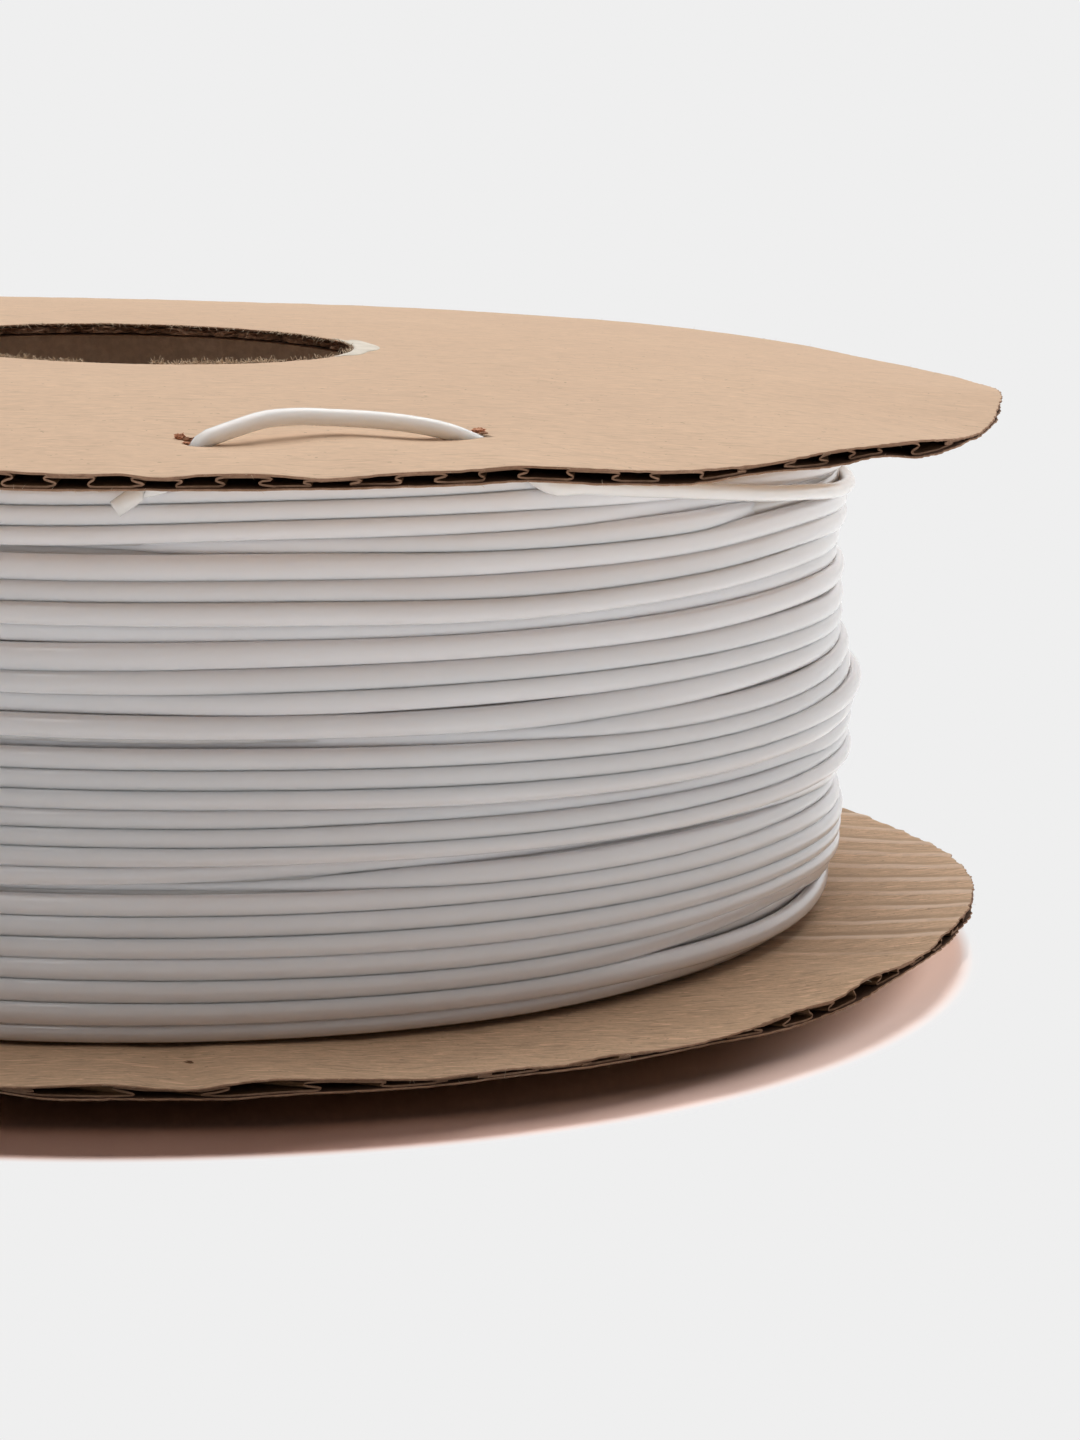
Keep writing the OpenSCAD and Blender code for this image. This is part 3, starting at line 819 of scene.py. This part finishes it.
# ------------ the winding
SEEN = (-8, 10, 28, 45, 60, 80)  # bearings at which each turn's height is known
TURNS = [       # heights of the 28 turns of the outer layer, top to bottom
    (57.95, 58.75, 58.9, 58.5, 58.0, 57.3), (56.05, 56.85, 57.15, 56.9, 56.3, 55.9),
    (53.95, 54.9, 55.1, 55.35, 55.2, 54.6), (53.5, 53.35, 53.2, 53.3, 53.55, 52.8),
    (50.85, 51.1, 51.25, 51.4, 51.8, 50.9), (48.6, 48.8, 48.4, 48.85, 49.7, 49.0),
    (46.4, 46.55, 46.15, 46.65, 47.35, 46.6), (45.0, 44.9, 44.75, 45.2, 45.7, 44.75),
    (42.1, 42.7, 42.85, 42.9, 43.2, 42.8), (39.55, 39.8, 40.0, 40.1, 40.15, 39.4),
    (38.0, 37.9, 38.1, 38.05, 37.9, 37.3), (35.15, 35.0, 35.05, 35.65, 35.95, 35.35),
    (34.0, 33.9, 33.35, 32.8, 32.7, 33.4), (32.15, 32.05, 31.5, 30.9, 30.55, 31.3),
    (30.2, 30.1, 29.5, 28.9, 28.55, 29.4), (28.15, 28.0, 27.35, 26.85, 26.5, 27.0),
    (26.25, 26.1, 25.5, 25.0, 24.7, 25.2), (24.45, 24.3, 23.9, 23.5, 23.05, 23.2),
    (22.4, 22.35, 22.15, 21.8, 21.4, 21.5), (20.3, 20.85, 21.0, 20.9, 20.4, 20.0),
    (19.3, 19.2, 19.1, 19.0, 18.65, 18.0), (17.45, 17.5, 17.35, 17.15, 16.95, 16.2),
    (15.4, 15.4, 15.3, 15.1, 14.8, 14.4), (13.2, 13.2, 13.05, 13.0, 12.8, 12.4),
    (11.1, 11.0, 10.75, 11.0, 11.1, 10.4), (8.9, 8.8, 8.75, 9.3, 9.9, 8.4),
    (6.45, 6.5, 6.45, 6.3, 6.1, 6.4), (4.3, 4.4, 4.6, 4.9, 5.4, 5.2)]
PROUD = {       # turns, by number from 1, that stand out or lie deeper (mm)
    4: (-1.5, -.5, 0, 0, 0, 0), 7: (.45, .45, .45, .3, 0, -.8), 8: (-.55, -.55, -.55, -.4, -.6, -.9),
    12: (0, 0, 0, 0, 0, -.1), 13: (-.5, -.5, -.2, 0, .3, .9), 14: (0, 0, 0, 0, .5, 1.2),
    15: (0, 0, 0, .1, .9, 2.5), 16: (0, 0, 0, 0, .7, 1.7), 17: (0, 0, 0, 0, .6, 1.5),
    18: (0, 0, 0, 0, .5, 1.4), 19: (0, 0, 0, 0, .6, 1.7), 20: (0, 0, 0, 0, .2, .9),
    21: (-1.2, -.5, 0, 0, 0, -.1), 22: (0, 0, 0, 0, .2, .6), 23: (0, 0, 0, 0, .4, 1.05),
    24: (0, 0, 0, 0, .4, .9), 25: (0, 0, 0, 0, .3, .85), 26: (0, 0, 0, 0, 0, -.1),
    27: (0, 0, 0, 0, 0, -.3), 28: (-.5, -.5, -.5, -.5, -.5, -.5)}
PER_TURN = 180  # points of the strand's path in a turn
TOP_END = -20   # bearing where the layer ends at the top and the last loop goes on


def layer_path():
    """The outer layer's centre line, from the top: bearing (counted on from turn to turn), radius, height."""
    knots, zs, rs = [], [], []
    for i, row in enumerate(TURNS):
        proud = PROUD.get(i + 1, (0,) * 6)
        for b, z, d in zip(SEEN, row, proud):
            knots.append(360 * i + b)
            zs.append(z + (0.5 * d if b == 60 else 0))      # a turn that stands out there also rides up
            rs.append(d)
        after = TURNS[i + 1][0] if i + 1 < len(TURNS) else row[-1] - 0.1
        nxt = PROUD.get(i + 2, (0,) * 6)[0]
        for b in (105, 140, 180, 220, 260, 300, 330):
            t = (b - SEEN[-1]) / (360 + SEEN[0] - SEEN[-1])
            knots.append(360 * i + b)
            zs.append(row[-1] + (after - row[-1]) * t)
            rs.append(proud[-1] + (nxt - proud[-1]) * smooth(t, 0, 1))
    turn = np.arange(TOP_END, 360 * (len(TURNS) - 1) + 190.1, 360 / PER_TURN)
    z = hermite(knots, zs, turn)
    r = hermite(knots, rs, turn)
    b = turn % 360
    back = smooth(b, 85, 130) * (1 - smooth(b, 300, 345)) * (b < 350)
    z = z + 0.18 * back * blotches(5, np.radians(b) * 60, z * 3.0, 8, 18)
    r = r + 0.30 * back * blotches(6, np.radians(b) * 60, z * 3.0, 8, 18)
    r = under_crossing(turn, LAYER_R + settle(r, z[:-PER_TURN] - z[PER_TURN:]), z)
    end = turn[-1]      # the bottom end sinks into the winding
    r = r - 2.2 * smooth(turn, end - 105, end - 70) - 1.0 * smooth(turn, end - 20, end)
    return turn, r, z


def clearance(dz):
    """How much deeper a strand has to lie than one that is dz above or below it."""
    return np.sqrt(np.maximum(TOUCH ** 2 - dz ** 2, 0))


def settle(start, dz):
    """Sinks a strand under its neighbour in the next turn wherever the two would cut into each other.
    Which of the two lies deeper is settled once for each stretch in which they touch."""
    r, need = start, clearance(dz)
    touching = np.concatenate([[0], (need > 0).astype(int), [0]])
    ups, downs = np.where(np.diff(touching) == 1)[0], np.where(np.diff(touching) == -1)[0]
    for _ in range(5):
        sunk = r.copy()
        for k, (a, b) in enumerate(zip(ups, downs)):
            one, two = slice(a, b), slice(a + PER_TURN, b + PER_TURN)
            lead = float(np.mean(start[one] - start[two]))
            lead = lead if abs(lead) > 0.05 else (1 if k % 2 else -1)
            deep, high = (two, one) if lead > 0 else (one, two)
            sunk[deep] = np.minimum(sunk[deep], r[high] - need[one])
        r = sunk
    return start - smoothed(highest_near(start - r, 3), np.hanning(11))


def under_crossing(turn, r, z):
    """Presses the layer in where the last loop lies across it."""
    tail = tail_path()
    bearing = np.degrees(np.arctan2(tail[:, 0], -tail[:, 1])) % 360
    radius = np.hypot(tail[:, 0], tail[:, 1])
    loop = tail[:, 2] < 59.2
    order = np.argsort(bearing[loop])
    xb, xr, xz = bearing[loop][order], radius[loop][order], tail[loop][order, 2]
    b = turn % 360
    cr, cz = np.interp(b, xb, xr, period=360), np.interp(b, xb, xz, period=360)
    need = clearance(z - cz)
    limit = np.where((need > 0) & (turn > 30), cr - need, np.inf)     # up to there it is the loop's own start
    return r - smoothed(highest_near(np.maximum(r - limit, 0), 2), np.hanning(9))


def outer_layer():
    """The outer layer's strand. It is as tall as it takes to meet its neighbours where they lie close,
    and the turns are pressed together a little more at some places than at others."""
    turn, r, z = layer_path()
    gap = z[:-PER_TURN] - z[PER_TURN:]
    pressed = 0.25 + 0.13 * np.sin(np.radians(turn[:-PER_TURN]) * 0.37 + 1.0)
    half = smoothed(np.clip(gap / 2 + pressed, 0.95, 1.45), np.ones(7))
    alone = np.full(PER_TURN, 0.9)          # no neighbour above the first turn, nor below the last
    up, down = np.concatenate([alone, half]), np.concatenate([half, alone])
    sides = 18
    a = circle(sides)
    inwards, upwards = -polar(1.0, turn, 0.0), np.array([0, 0, 1.0])
    tall = np.where(np.sin(a)[None] > 0, up[:, None], down[:, None]) * np.sin(a)[None]
    wide = LOOK_R * np.sign(np.cos(a)) * np.abs(np.cos(a)) ** 0.82
    v = polar(r, turn, z)[:, None] + wide[None, :, None] * inwards[:, None] + tall[..., None] * upwards
    return piece("outer_winding", v.reshape(-1, 3), tube_faces(len(turn), sides), STRAND_WHITE,
                 "filament_outer_layer")


def packed_body():
    """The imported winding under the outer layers, with its turns as ribs all round."""
    inner, edge = TUBE_R + 0.2, 80.9

    def low_z(r):
        return between_flanges(r)[0] + 0.9

    def high_z(r):
        return between_flanges(r)[1] - 0.95

    def pressed_in(r):
        return high_z(r) - 1.2 * float(smooth(r, 74, 79))

    def ribbed(height, start, end, sign):
        count = int(abs(end - start) / 1.8)
        places = [(i, u) for i in range(count) for u in (0.08, 0.3, 0.7, 0.92)]
        radii = [start + (end - start) * (i + u) / count for i, u in places]
        return [(r, height(r) + sign * 0.45 * sin(pi * u)) for r, (_, u) in zip(radii, places)]

    rows = 28
    z0, z1 = low_z(edge) + 0.4, high_z(edge) - 1.8
    front = [(edge + 0.5 * sin(pi * u), z0 + (z1 - z0) * (i + u) / rows)
             for i in range(rows) for u in (0.06, 0.5, 0.94)]
    outline = [(inner, low_z(inner) + 2.2)] + ribbed(low_z, inner + 2.0, edge, -1) + front
    outline += ribbed(pressed_in, edge, inner + 2.0, 1) + [(inner, high_z(inner) - 2.2)]
    return lathe(outline, 120)


def under_layers():
    """The layer below the outer one, wound the other way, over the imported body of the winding."""
    low, high, pitch, coil_r = 4.4, 58.6, 1.98, 81.0
    t = np.arange(0, (high - low) / pitch * 360, 4.0)
    z = low + (high - low) * t / t[-1] + 0.12 * np.sin(t / 97.0)
    coil = tube_mesh(polar(coil_r + 0.1 * np.sin(t / 61.0), -t, z), 0.95, 8)
    v, f = join([coil, packed_body()])
    # the layers below wear the filament's painted-shade copy
    return piece("under_winding", v, f, STRAND_SHADED, "filament_inner_layers")


# The strand's route over the upper flange: along the arch, outwards from ARCH_OUT, and up from the hub face.
ARCH = [[-17.8, 3.3, -6.6], [-15.9, 1.9, -5.3], [-13.9, 0.2, -3.9], [-11.2, 0, -2.65], [-8.2, 0, -1.5],
        [-4.6, 0, -0.72], [-0.4, 0, -0.2], [4.0, 0, 0.1], [8.2, 0, 0.25], [11.3, 0, 0.0], [13.9, 0, -0.74],
        [15.8, 0, -1.35], [17.3, 0, -1.95], [18.2, 0.1, -2.9], [18.8, 0.2, -4.0], [19.6, 0.4, -5.0],
        [20.9, 0.7, -5.8], [22.9, 1.1, -6.3], [25.0, 1.6, -6.5]]
ARCH_OUT = 79.4             # the arch's distance from the spool's axis
ARCH_TURN = radians(-73)    # and its direction from there, from +X
CUT_END = [[0.4, -85.3, 59.0], [-1.8, -85.6, 57.2]]     # where the strand comes out below, and is cut


def at_arch(u, v, w):
    """A point of ARCH in the spool's frame."""
    c, s = cos(ARCH_TURN), sin(ARCH_TURN)
    return [(ARCH_OUT + v) * c + u * s, (ARCH_OUT + v) * s - u * c, OVERALL_W + w]


LAST_LOOP = [   # bearing, radius and height of the last loop over the layer
    (-20, 82.3, 58.35), (-34, 83.2, 58.7), (-50, 84.0, 58.75), (-75, OVER_R, 58.6), (-100, OVER_R, 58.2),
    (-125, OVER_R, 57.6), (-150, OVER_R, 56.8), (-175, 84.2, 55.8), (-200, 84.1, 54.8), (-220, 83.9, 53.9),
    (-240, 83.6, 53.1), (-255, 83.4, 52.7), (-268, 83.2, 52.3), (-280, 83.2, 52.4), (-286, 83.3, 52.9),
    (-292, 83.6, 53.5), (-300, 84.0, 54.6), (-306, 84.1, 55.3), (-314, 84.2, 56.5), (-320, 84.2, 57.4),
    (-326, 84.4, 58.2), (-329, 84.6, 58.7)]


def tail_path():
    """The last loop over the layer, its rise to the flange, the arch over it and the cut end below."""
    bearings = np.arange(TOP_END, -328.1, -4)       # it ends at +32 degrees, below the right hand hole
    known = np.array(LAST_LOOP)[::-1]
    r, z = hermite(known[:, 0], known[:, 1], bearings), hermite(known[:, 0], known[:, 2], bearings)
    return spaced(np.array([*polar(r, bearings, z), *(at_arch(*p) for p in ARCH), *CUT_END]), 1.0)


def spaced(points, step):
    """Points every step along the smooth curve through the given points."""
    d = np.concatenate([[0], np.cumsum(np.linalg.norm(np.diff(points, axis=0), axis=1))])
    t = np.linspace(0, d[-1], int(d[-1] / step) + 1)
    return np.stack([hermite(d, points[:, i], t) for i in range(3)], -1)


def tail():
    """The strand from the end of the outer layer to its square cut."""
    v, f = tube_mesh(tail_path(), TAIL_R, 18)
    return piece("strand_tail", v, f, STRAND_CREAM, "filament_tail")


def strand_holes(*sheets):
    """Cuts the two holes of the arch through the liners of the upper flange."""
    path = tail_path()
    through = (np.hypot(path[:, 0], path[:, 1]) < 83.6) & (path[:, 2] > 60.2)
    v, f = tube_mesh(path[through], TAIL_R + 0.25, 14)
    for sheet in sheets:
        carve(sheet, v, f)


# ------------ torn paper and fibres
def fibres(name, roots, ways, lengths, radii, seed):
    """Loose paper fibres: thin bent three-sided needles."""
    rng = np.random.default_rng(seed)
    parts = []
    for root, way, length, radius in zip(roots, ways, lengths, radii):
        way = way / np.linalg.norm(way)
        bend = rng.normal(size=3) * 0.35
        t = np.linspace(0, 1, 5)[:, None]
        path = root + length * (t * way + t * t * bend)
        parts.append(tube_mesh(path, radius * np.array([1, 0.95, 0.85, 0.65, 0.3]), 3))
    v, f = join(parts)
    return piece(name, v, f, PALE_FIBRE)


def round_rim(b):
    """Unit directions outwards from the axis and along the rim, at bearings b."""
    out = polar(1.0, b, 0.0)
    return out, np.stack([-out[:, 1], out[:, 0], 0 * b], -1)


def rim_fibres(name, board, seed):
    """Fibres that stand out of a board's torn rim, from both liners."""
    rng = np.random.default_rng(seed)
    count = 420
    b = rng.uniform(0, 360, count)
    p = polar(FLANGE_R - 0.15, b, 0.0)
    outer_side = rng.random(count) < 0.5
    z0, z1 = board.outer(p[:, 0], p[:, 1]), board.inner(p[:, 0], p[:, 1])
    inward = -1 if board.upper else 1
    p[:, 2] = np.where(outer_side, z0 + inward * 0.12, z1 - inward * 0.12)
    out, along = round_rim(b)
    ways = 0.45 * out + along * rng.normal(size=(count, 1)) * 1.1
    ways[:, 2] = rng.normal(size=count) * 0.55 * (p[:, 2] > 3) + 0.2 * (p[:, 2] <= 3)   # none into the floor
    lengths = rng.uniform(0.15, 0.7, count) ** 1.3 * 0.9
    return fibres(name, p, ways, lengths, rng.uniform(0.012, 0.026, count), seed + 1)


def hole_fibres():
    """Fuzz on the torn edge of the upper hub hole, thickest in three tufts along the front."""
    rng = np.random.default_rng(207)
    stretches = ((-46, -28, 150), (-27, -13, 90), (4, 36, 420), (36, 322, 500))     # bearings and how many
    b = np.concatenate([rng.uniform(*stretch) for stretch in stretches])
    n = len(b)
    p = polar(HOLE_R + rng.uniform(0.0, 0.25, n), b, 0.0)
    p[:, 2] = TOP_BOARD.outer(p[:, 0], p[:, 1]) - 0.05
    out, along = round_rim(b)
    rise = np.where((b > 110) & (b < 250), -0.5, 1.0)[:, None]     # at the back they hang into the hole
    ways = -0.35 * out - along * rng.normal(size=(n, 1)) * 0.9
    ways = ways + [0, 0, 1] * rng.uniform(0.25, 0.95, (n, 1)) * rise
    return fibres("hub_hole_fuzz", p, ways, rng.uniform(0.2, 0.7, n), rng.uniform(0.04, 0.075, n),
                  208)


def crumb(centre, size, turn, seed):
    """A crumpled bit of torn paper."""
    m, n = 16, 9
    rng = np.random.default_rng(seed)
    a = circle(m)
    c, s = cos(radians(turn)), sin(radians(turn))
    rings = []
    for k in np.linspace(-1, 1, n + 2)[1:-1]:
        r = sqrt(1 - k * k) * (1 + 0.24 * rng.normal(size=m))
        x, y = size[0] * r * np.cos(a), size[1] * r * np.sin(a)
        z = size[2] * (k + 0.16 * rng.normal(size=m))
        rings.append(np.stack([centre[0] + x * c - y * s, centre[1] + x * s + y * c, centre[2] + z], -1))
    v, f = rings_mesh(rings, False)
    return v, f + [list(range(m))[::-1], list(range(len(v) - m, len(v)))]


def slot_crumbs(name, places, material):
    """Torn paper pushed up where the strand enters and leaves the flange."""
    parts = []
    for k, (x, y, size, turn) in enumerate(places):
        top = float(TOP_BOARD.outer(np.array(x), np.array(y)))
        parts.append(crumb((x, y, top + size[2] * 0.45), size, turn, 400 + k))
    v, f = join(parts)
    return piece(name, v, f, material, shade=False)


# ------------ camera, lights, floor
def camera():
    """The photograph's view, fitted to the outlines of both flanges, the hub hole and the winding."""
    stand = (0, -0.47218, 0.108766)
    yaw, pitch, roll = 0.1025, 0.1822, -0.0306
    data = bpy.data.cameras.new("camera")
    data.lens, data.sensor_width, data.sensor_fit = 101.01, 36.0, "AUTO"
    data.clip_start, data.clip_end = 0.01, 100
    cam = bpy.data.objects.new("camera", data)
    turned = Matrix.Rotation(-yaw, 4, "Z") @ Matrix.Rotation(pi / 2 - pitch, 4, "X")
    cam.matrix_world = Matrix.Translation(stand) @ turned @ Matrix.Rotation(-roll, 4, "Z")
    scene.collection.objects.link(cam)
    scene.camera = cam


def sun(name, towards, strength, degrees, receivers, colour=(1, 1, 1)):
    """A far lamp in the direction towards, this many degrees wide. It lights only the things in receivers."""
    data = bpy.data.lights.new(name, "SUN")
    data.energy, data.angle, data.color = pi * strength, radians(degrees), colour
    lamp = bpy.data.objects.new(name, data)
    lamp.rotation_mode = "QUATERNION"
    lamp.rotation_quaternion = Vector(towards).to_track_quat("Z", "Y")
    scene.collection.objects.link(lamp)
    lamp.light_linking.receiver_collection = receivers


def group(name, things):
    """A collection of objects, for a lamp to light."""
    g = bpy.data.collections.new(name)
    for o in things:
        g.objects.link(o)
    return g


BACKGROUND = srgb(239, 239, 239)[0]
ABOVE = (2.8, 10.8, 62.5)   # where the floor's main lamp stands; the shadow falls the other way
REACH = 0.2                 # metres that the floor's ramps cover


def backdrop(red, green, blue):
    """The background's colour, each channel scaled."""
    return tuple(BACKGROUND * c for c in (red, green, blue))


def world(strength):
    """A faint even light. The camera, gloss and glass see the plain background instead."""
    w = bpy.data.worlds.new("studio")
    scene.world = w
    n = Nodes(w)
    n.t.nodes.clear()
    light = n.add("Background", Color=(1, 0.995, 0.99), Strength=strength)
    plain = n.add("Background", Color=backdrop(1, 1, 1), Strength=1)
    rays = n.add("LightPath").outputs
    seen = n.math("MAXIMUM", rays["Is Camera Ray"], rays["Is Glossy Ray"])
    seen = n.math("MAXIMUM", seen, rays["Is Transmission Ray"])
    n.link(n.either(seen, light, plain).outputs[0], n.add("OutputWorld").inputs[0])


def floor_paint():
    """Within the shadow's outline the camera sees the lit floor, and past its soft edge the background.
    Inside it the floor's colour is a painted reddish-brown shadow tint, for light bounced off the kraft:
    browner at the left, paler towards the right, and grey where the hub hole shows it."""
    p = Paint("studio_floor")
    p.set(Base_Color=backdrop(0.76, 0.76, 0.76), Roughness=0.95, Specular_IOR_Level=0.0)
    far = p.measure("LENGTH", p.mapped(shift=(ABOVE[0] * MM, ABOVE[1] * MM, 0)))
    reach = p.math("MULTIPLY", far, 1 / REACH)
    rightwards = p.math("MULTIPLY", p.along((0.9, -0.43, 0)), 1 / REACH)
    # painted shadow tint: reddish brown for the deep shadow at the left, paler for the lighter shadow at the
    # right
    deep, shadow_tint_pale = backdrop(1, 0.62, 0.50), backdrop(1, 0.85, 0.79)
    tone = p.mix(p.ramp(rightwards, ((0.30, 0), (0.62, 1))), deep, shadow_tint_pale)
    tone = p.mix(p.ramp(reach, ((0.16, 1), (0.40, 0))), tone, backdrop(0.9, 0.9, 0.9))
    lit, plain = p.add("BsdfDiffuse", Color=tone), p.add("Emission", Color=backdrop(1, 1, 1))
    seen = p.either(p.ramp(reach, ((0.494, 0), (0.505, 1)), True), lit, plain)
    whole = p.either(p.add("LightPath").outputs["Is Camera Ray"], p.bsdf, seen)
    p.link(whole.outputs[0], p.t.nodes["Material Output"].inputs["Surface"])
    return p.m


def floor():
    """The studio floor, 80 m wide."""
    s = 40 / MM
    obj = new_object("studio_floor", [(-s, -s, 0), (s, -s, 0), (s, s, 0), (-s, s, 0)], [(0, 1, 2, 3)])
    obj.data.materials.append(floor_paint())
    return obj


def repaint(node, material):
    """A better material for a CAD node that stays."""
    o = frame["nodes"][node]
    o.data.materials.clear()
    o.data.materials.append(material)


# ------------ everything together
camera()
top_face = liner("top_face_sheet", TOP_BOARD, True, TOP_KRAFT, "top_outer_liner", 31)
top_inner = liner("top_inner_sheet", TOP_BOARD, False, UNDER_KRAFT, "top_inner_liner",
                  41, hole_in=0.5)
liner("bottom_inner_sheet", LOW_BOARD, False, LOWER_KRAFT, "bottom_inner_liner",
      51, hole_in=0.3)
liner("bottom_face_sheet", LOW_BOARD, True, BASE_KRAFT, "bottom_outer_liner", 61)
fluting("top_crushed_fluting", TOP_BOARD, "top_fluting", TOP_WALLS, 71)
fluting("bottom_crushed_fluting", LOW_BOARD, "bottom_fluting", LOW_WALLS, 81)
tube_lining()
repaint("core_tube_body", TUBE_GREY)
repaint("core_tube_outer_ply", TUBE_WRAP)
glue_bead("top_glue_line", "top_glue_bead", True, 91)
glue_bead("bottom_glue_line", "bottom_glue_bead", False, 95)
glue_smear()
outer_layer()
under_layers()
tail()
strand_holes(top_face, top_inner)
rim_fibres("top_rim_fibres", TOP_BOARD, 301)
rim_fibres("bottom_rim_fibres", LOW_BOARD, 311)
hole_fibres()
slot_crumbs("slot_tears_dark", [(4.4, -79.0, (0.5, 0.45, 0.4), 20), (5.1, -81.2, (0.5, 0.3, 0.16), -30),
                                (34.2, -70.4, (0.7, 0.4, 0.3), 25)], TORN_DARK)
slot_crumbs("slot_tears_pale", [(5.2, -79.6, (0.95, 0.34, 0.28), -40), (34.7, -71.4, (0.5, 0.3, 0.14), 40)],
            TORN_PALE)

ground = floor()
spool = group("spool_lit", PIECES + list(frame["nodes"].values()))
stage = group("floor_lit", [ground])
sun("floor_key", ABOVE, 1.0, 2.6, stage)
sun("floor_key_wide", ABOVE, 0.10, 24, stage)
sun("floor_right", (0.602, 0.771, 0.208), 2.5, 17, stage)
sun("softbox", (0.12, 0.42, 1.0), 0.60, 60, spool)
sun("right_wall", (1.0, 0.85, 0.30), 0.20, 90, spool, (0.96, 0.97, 1.0))
sun("front_top", (-0.14, -0.26, 1.2), 0.27, 40, spool, (1, 0.97, 0.95))
sun("glint", (-0.25, -1.0, 0.8), 0.03, 9, spool)
sun("front_wall", (-0.40, -1.0, 0.28), 0.02, 110, spool, (1, 0.92, 0.88))
world(0.02)
scene.view_settings.view_transform = "Standard"
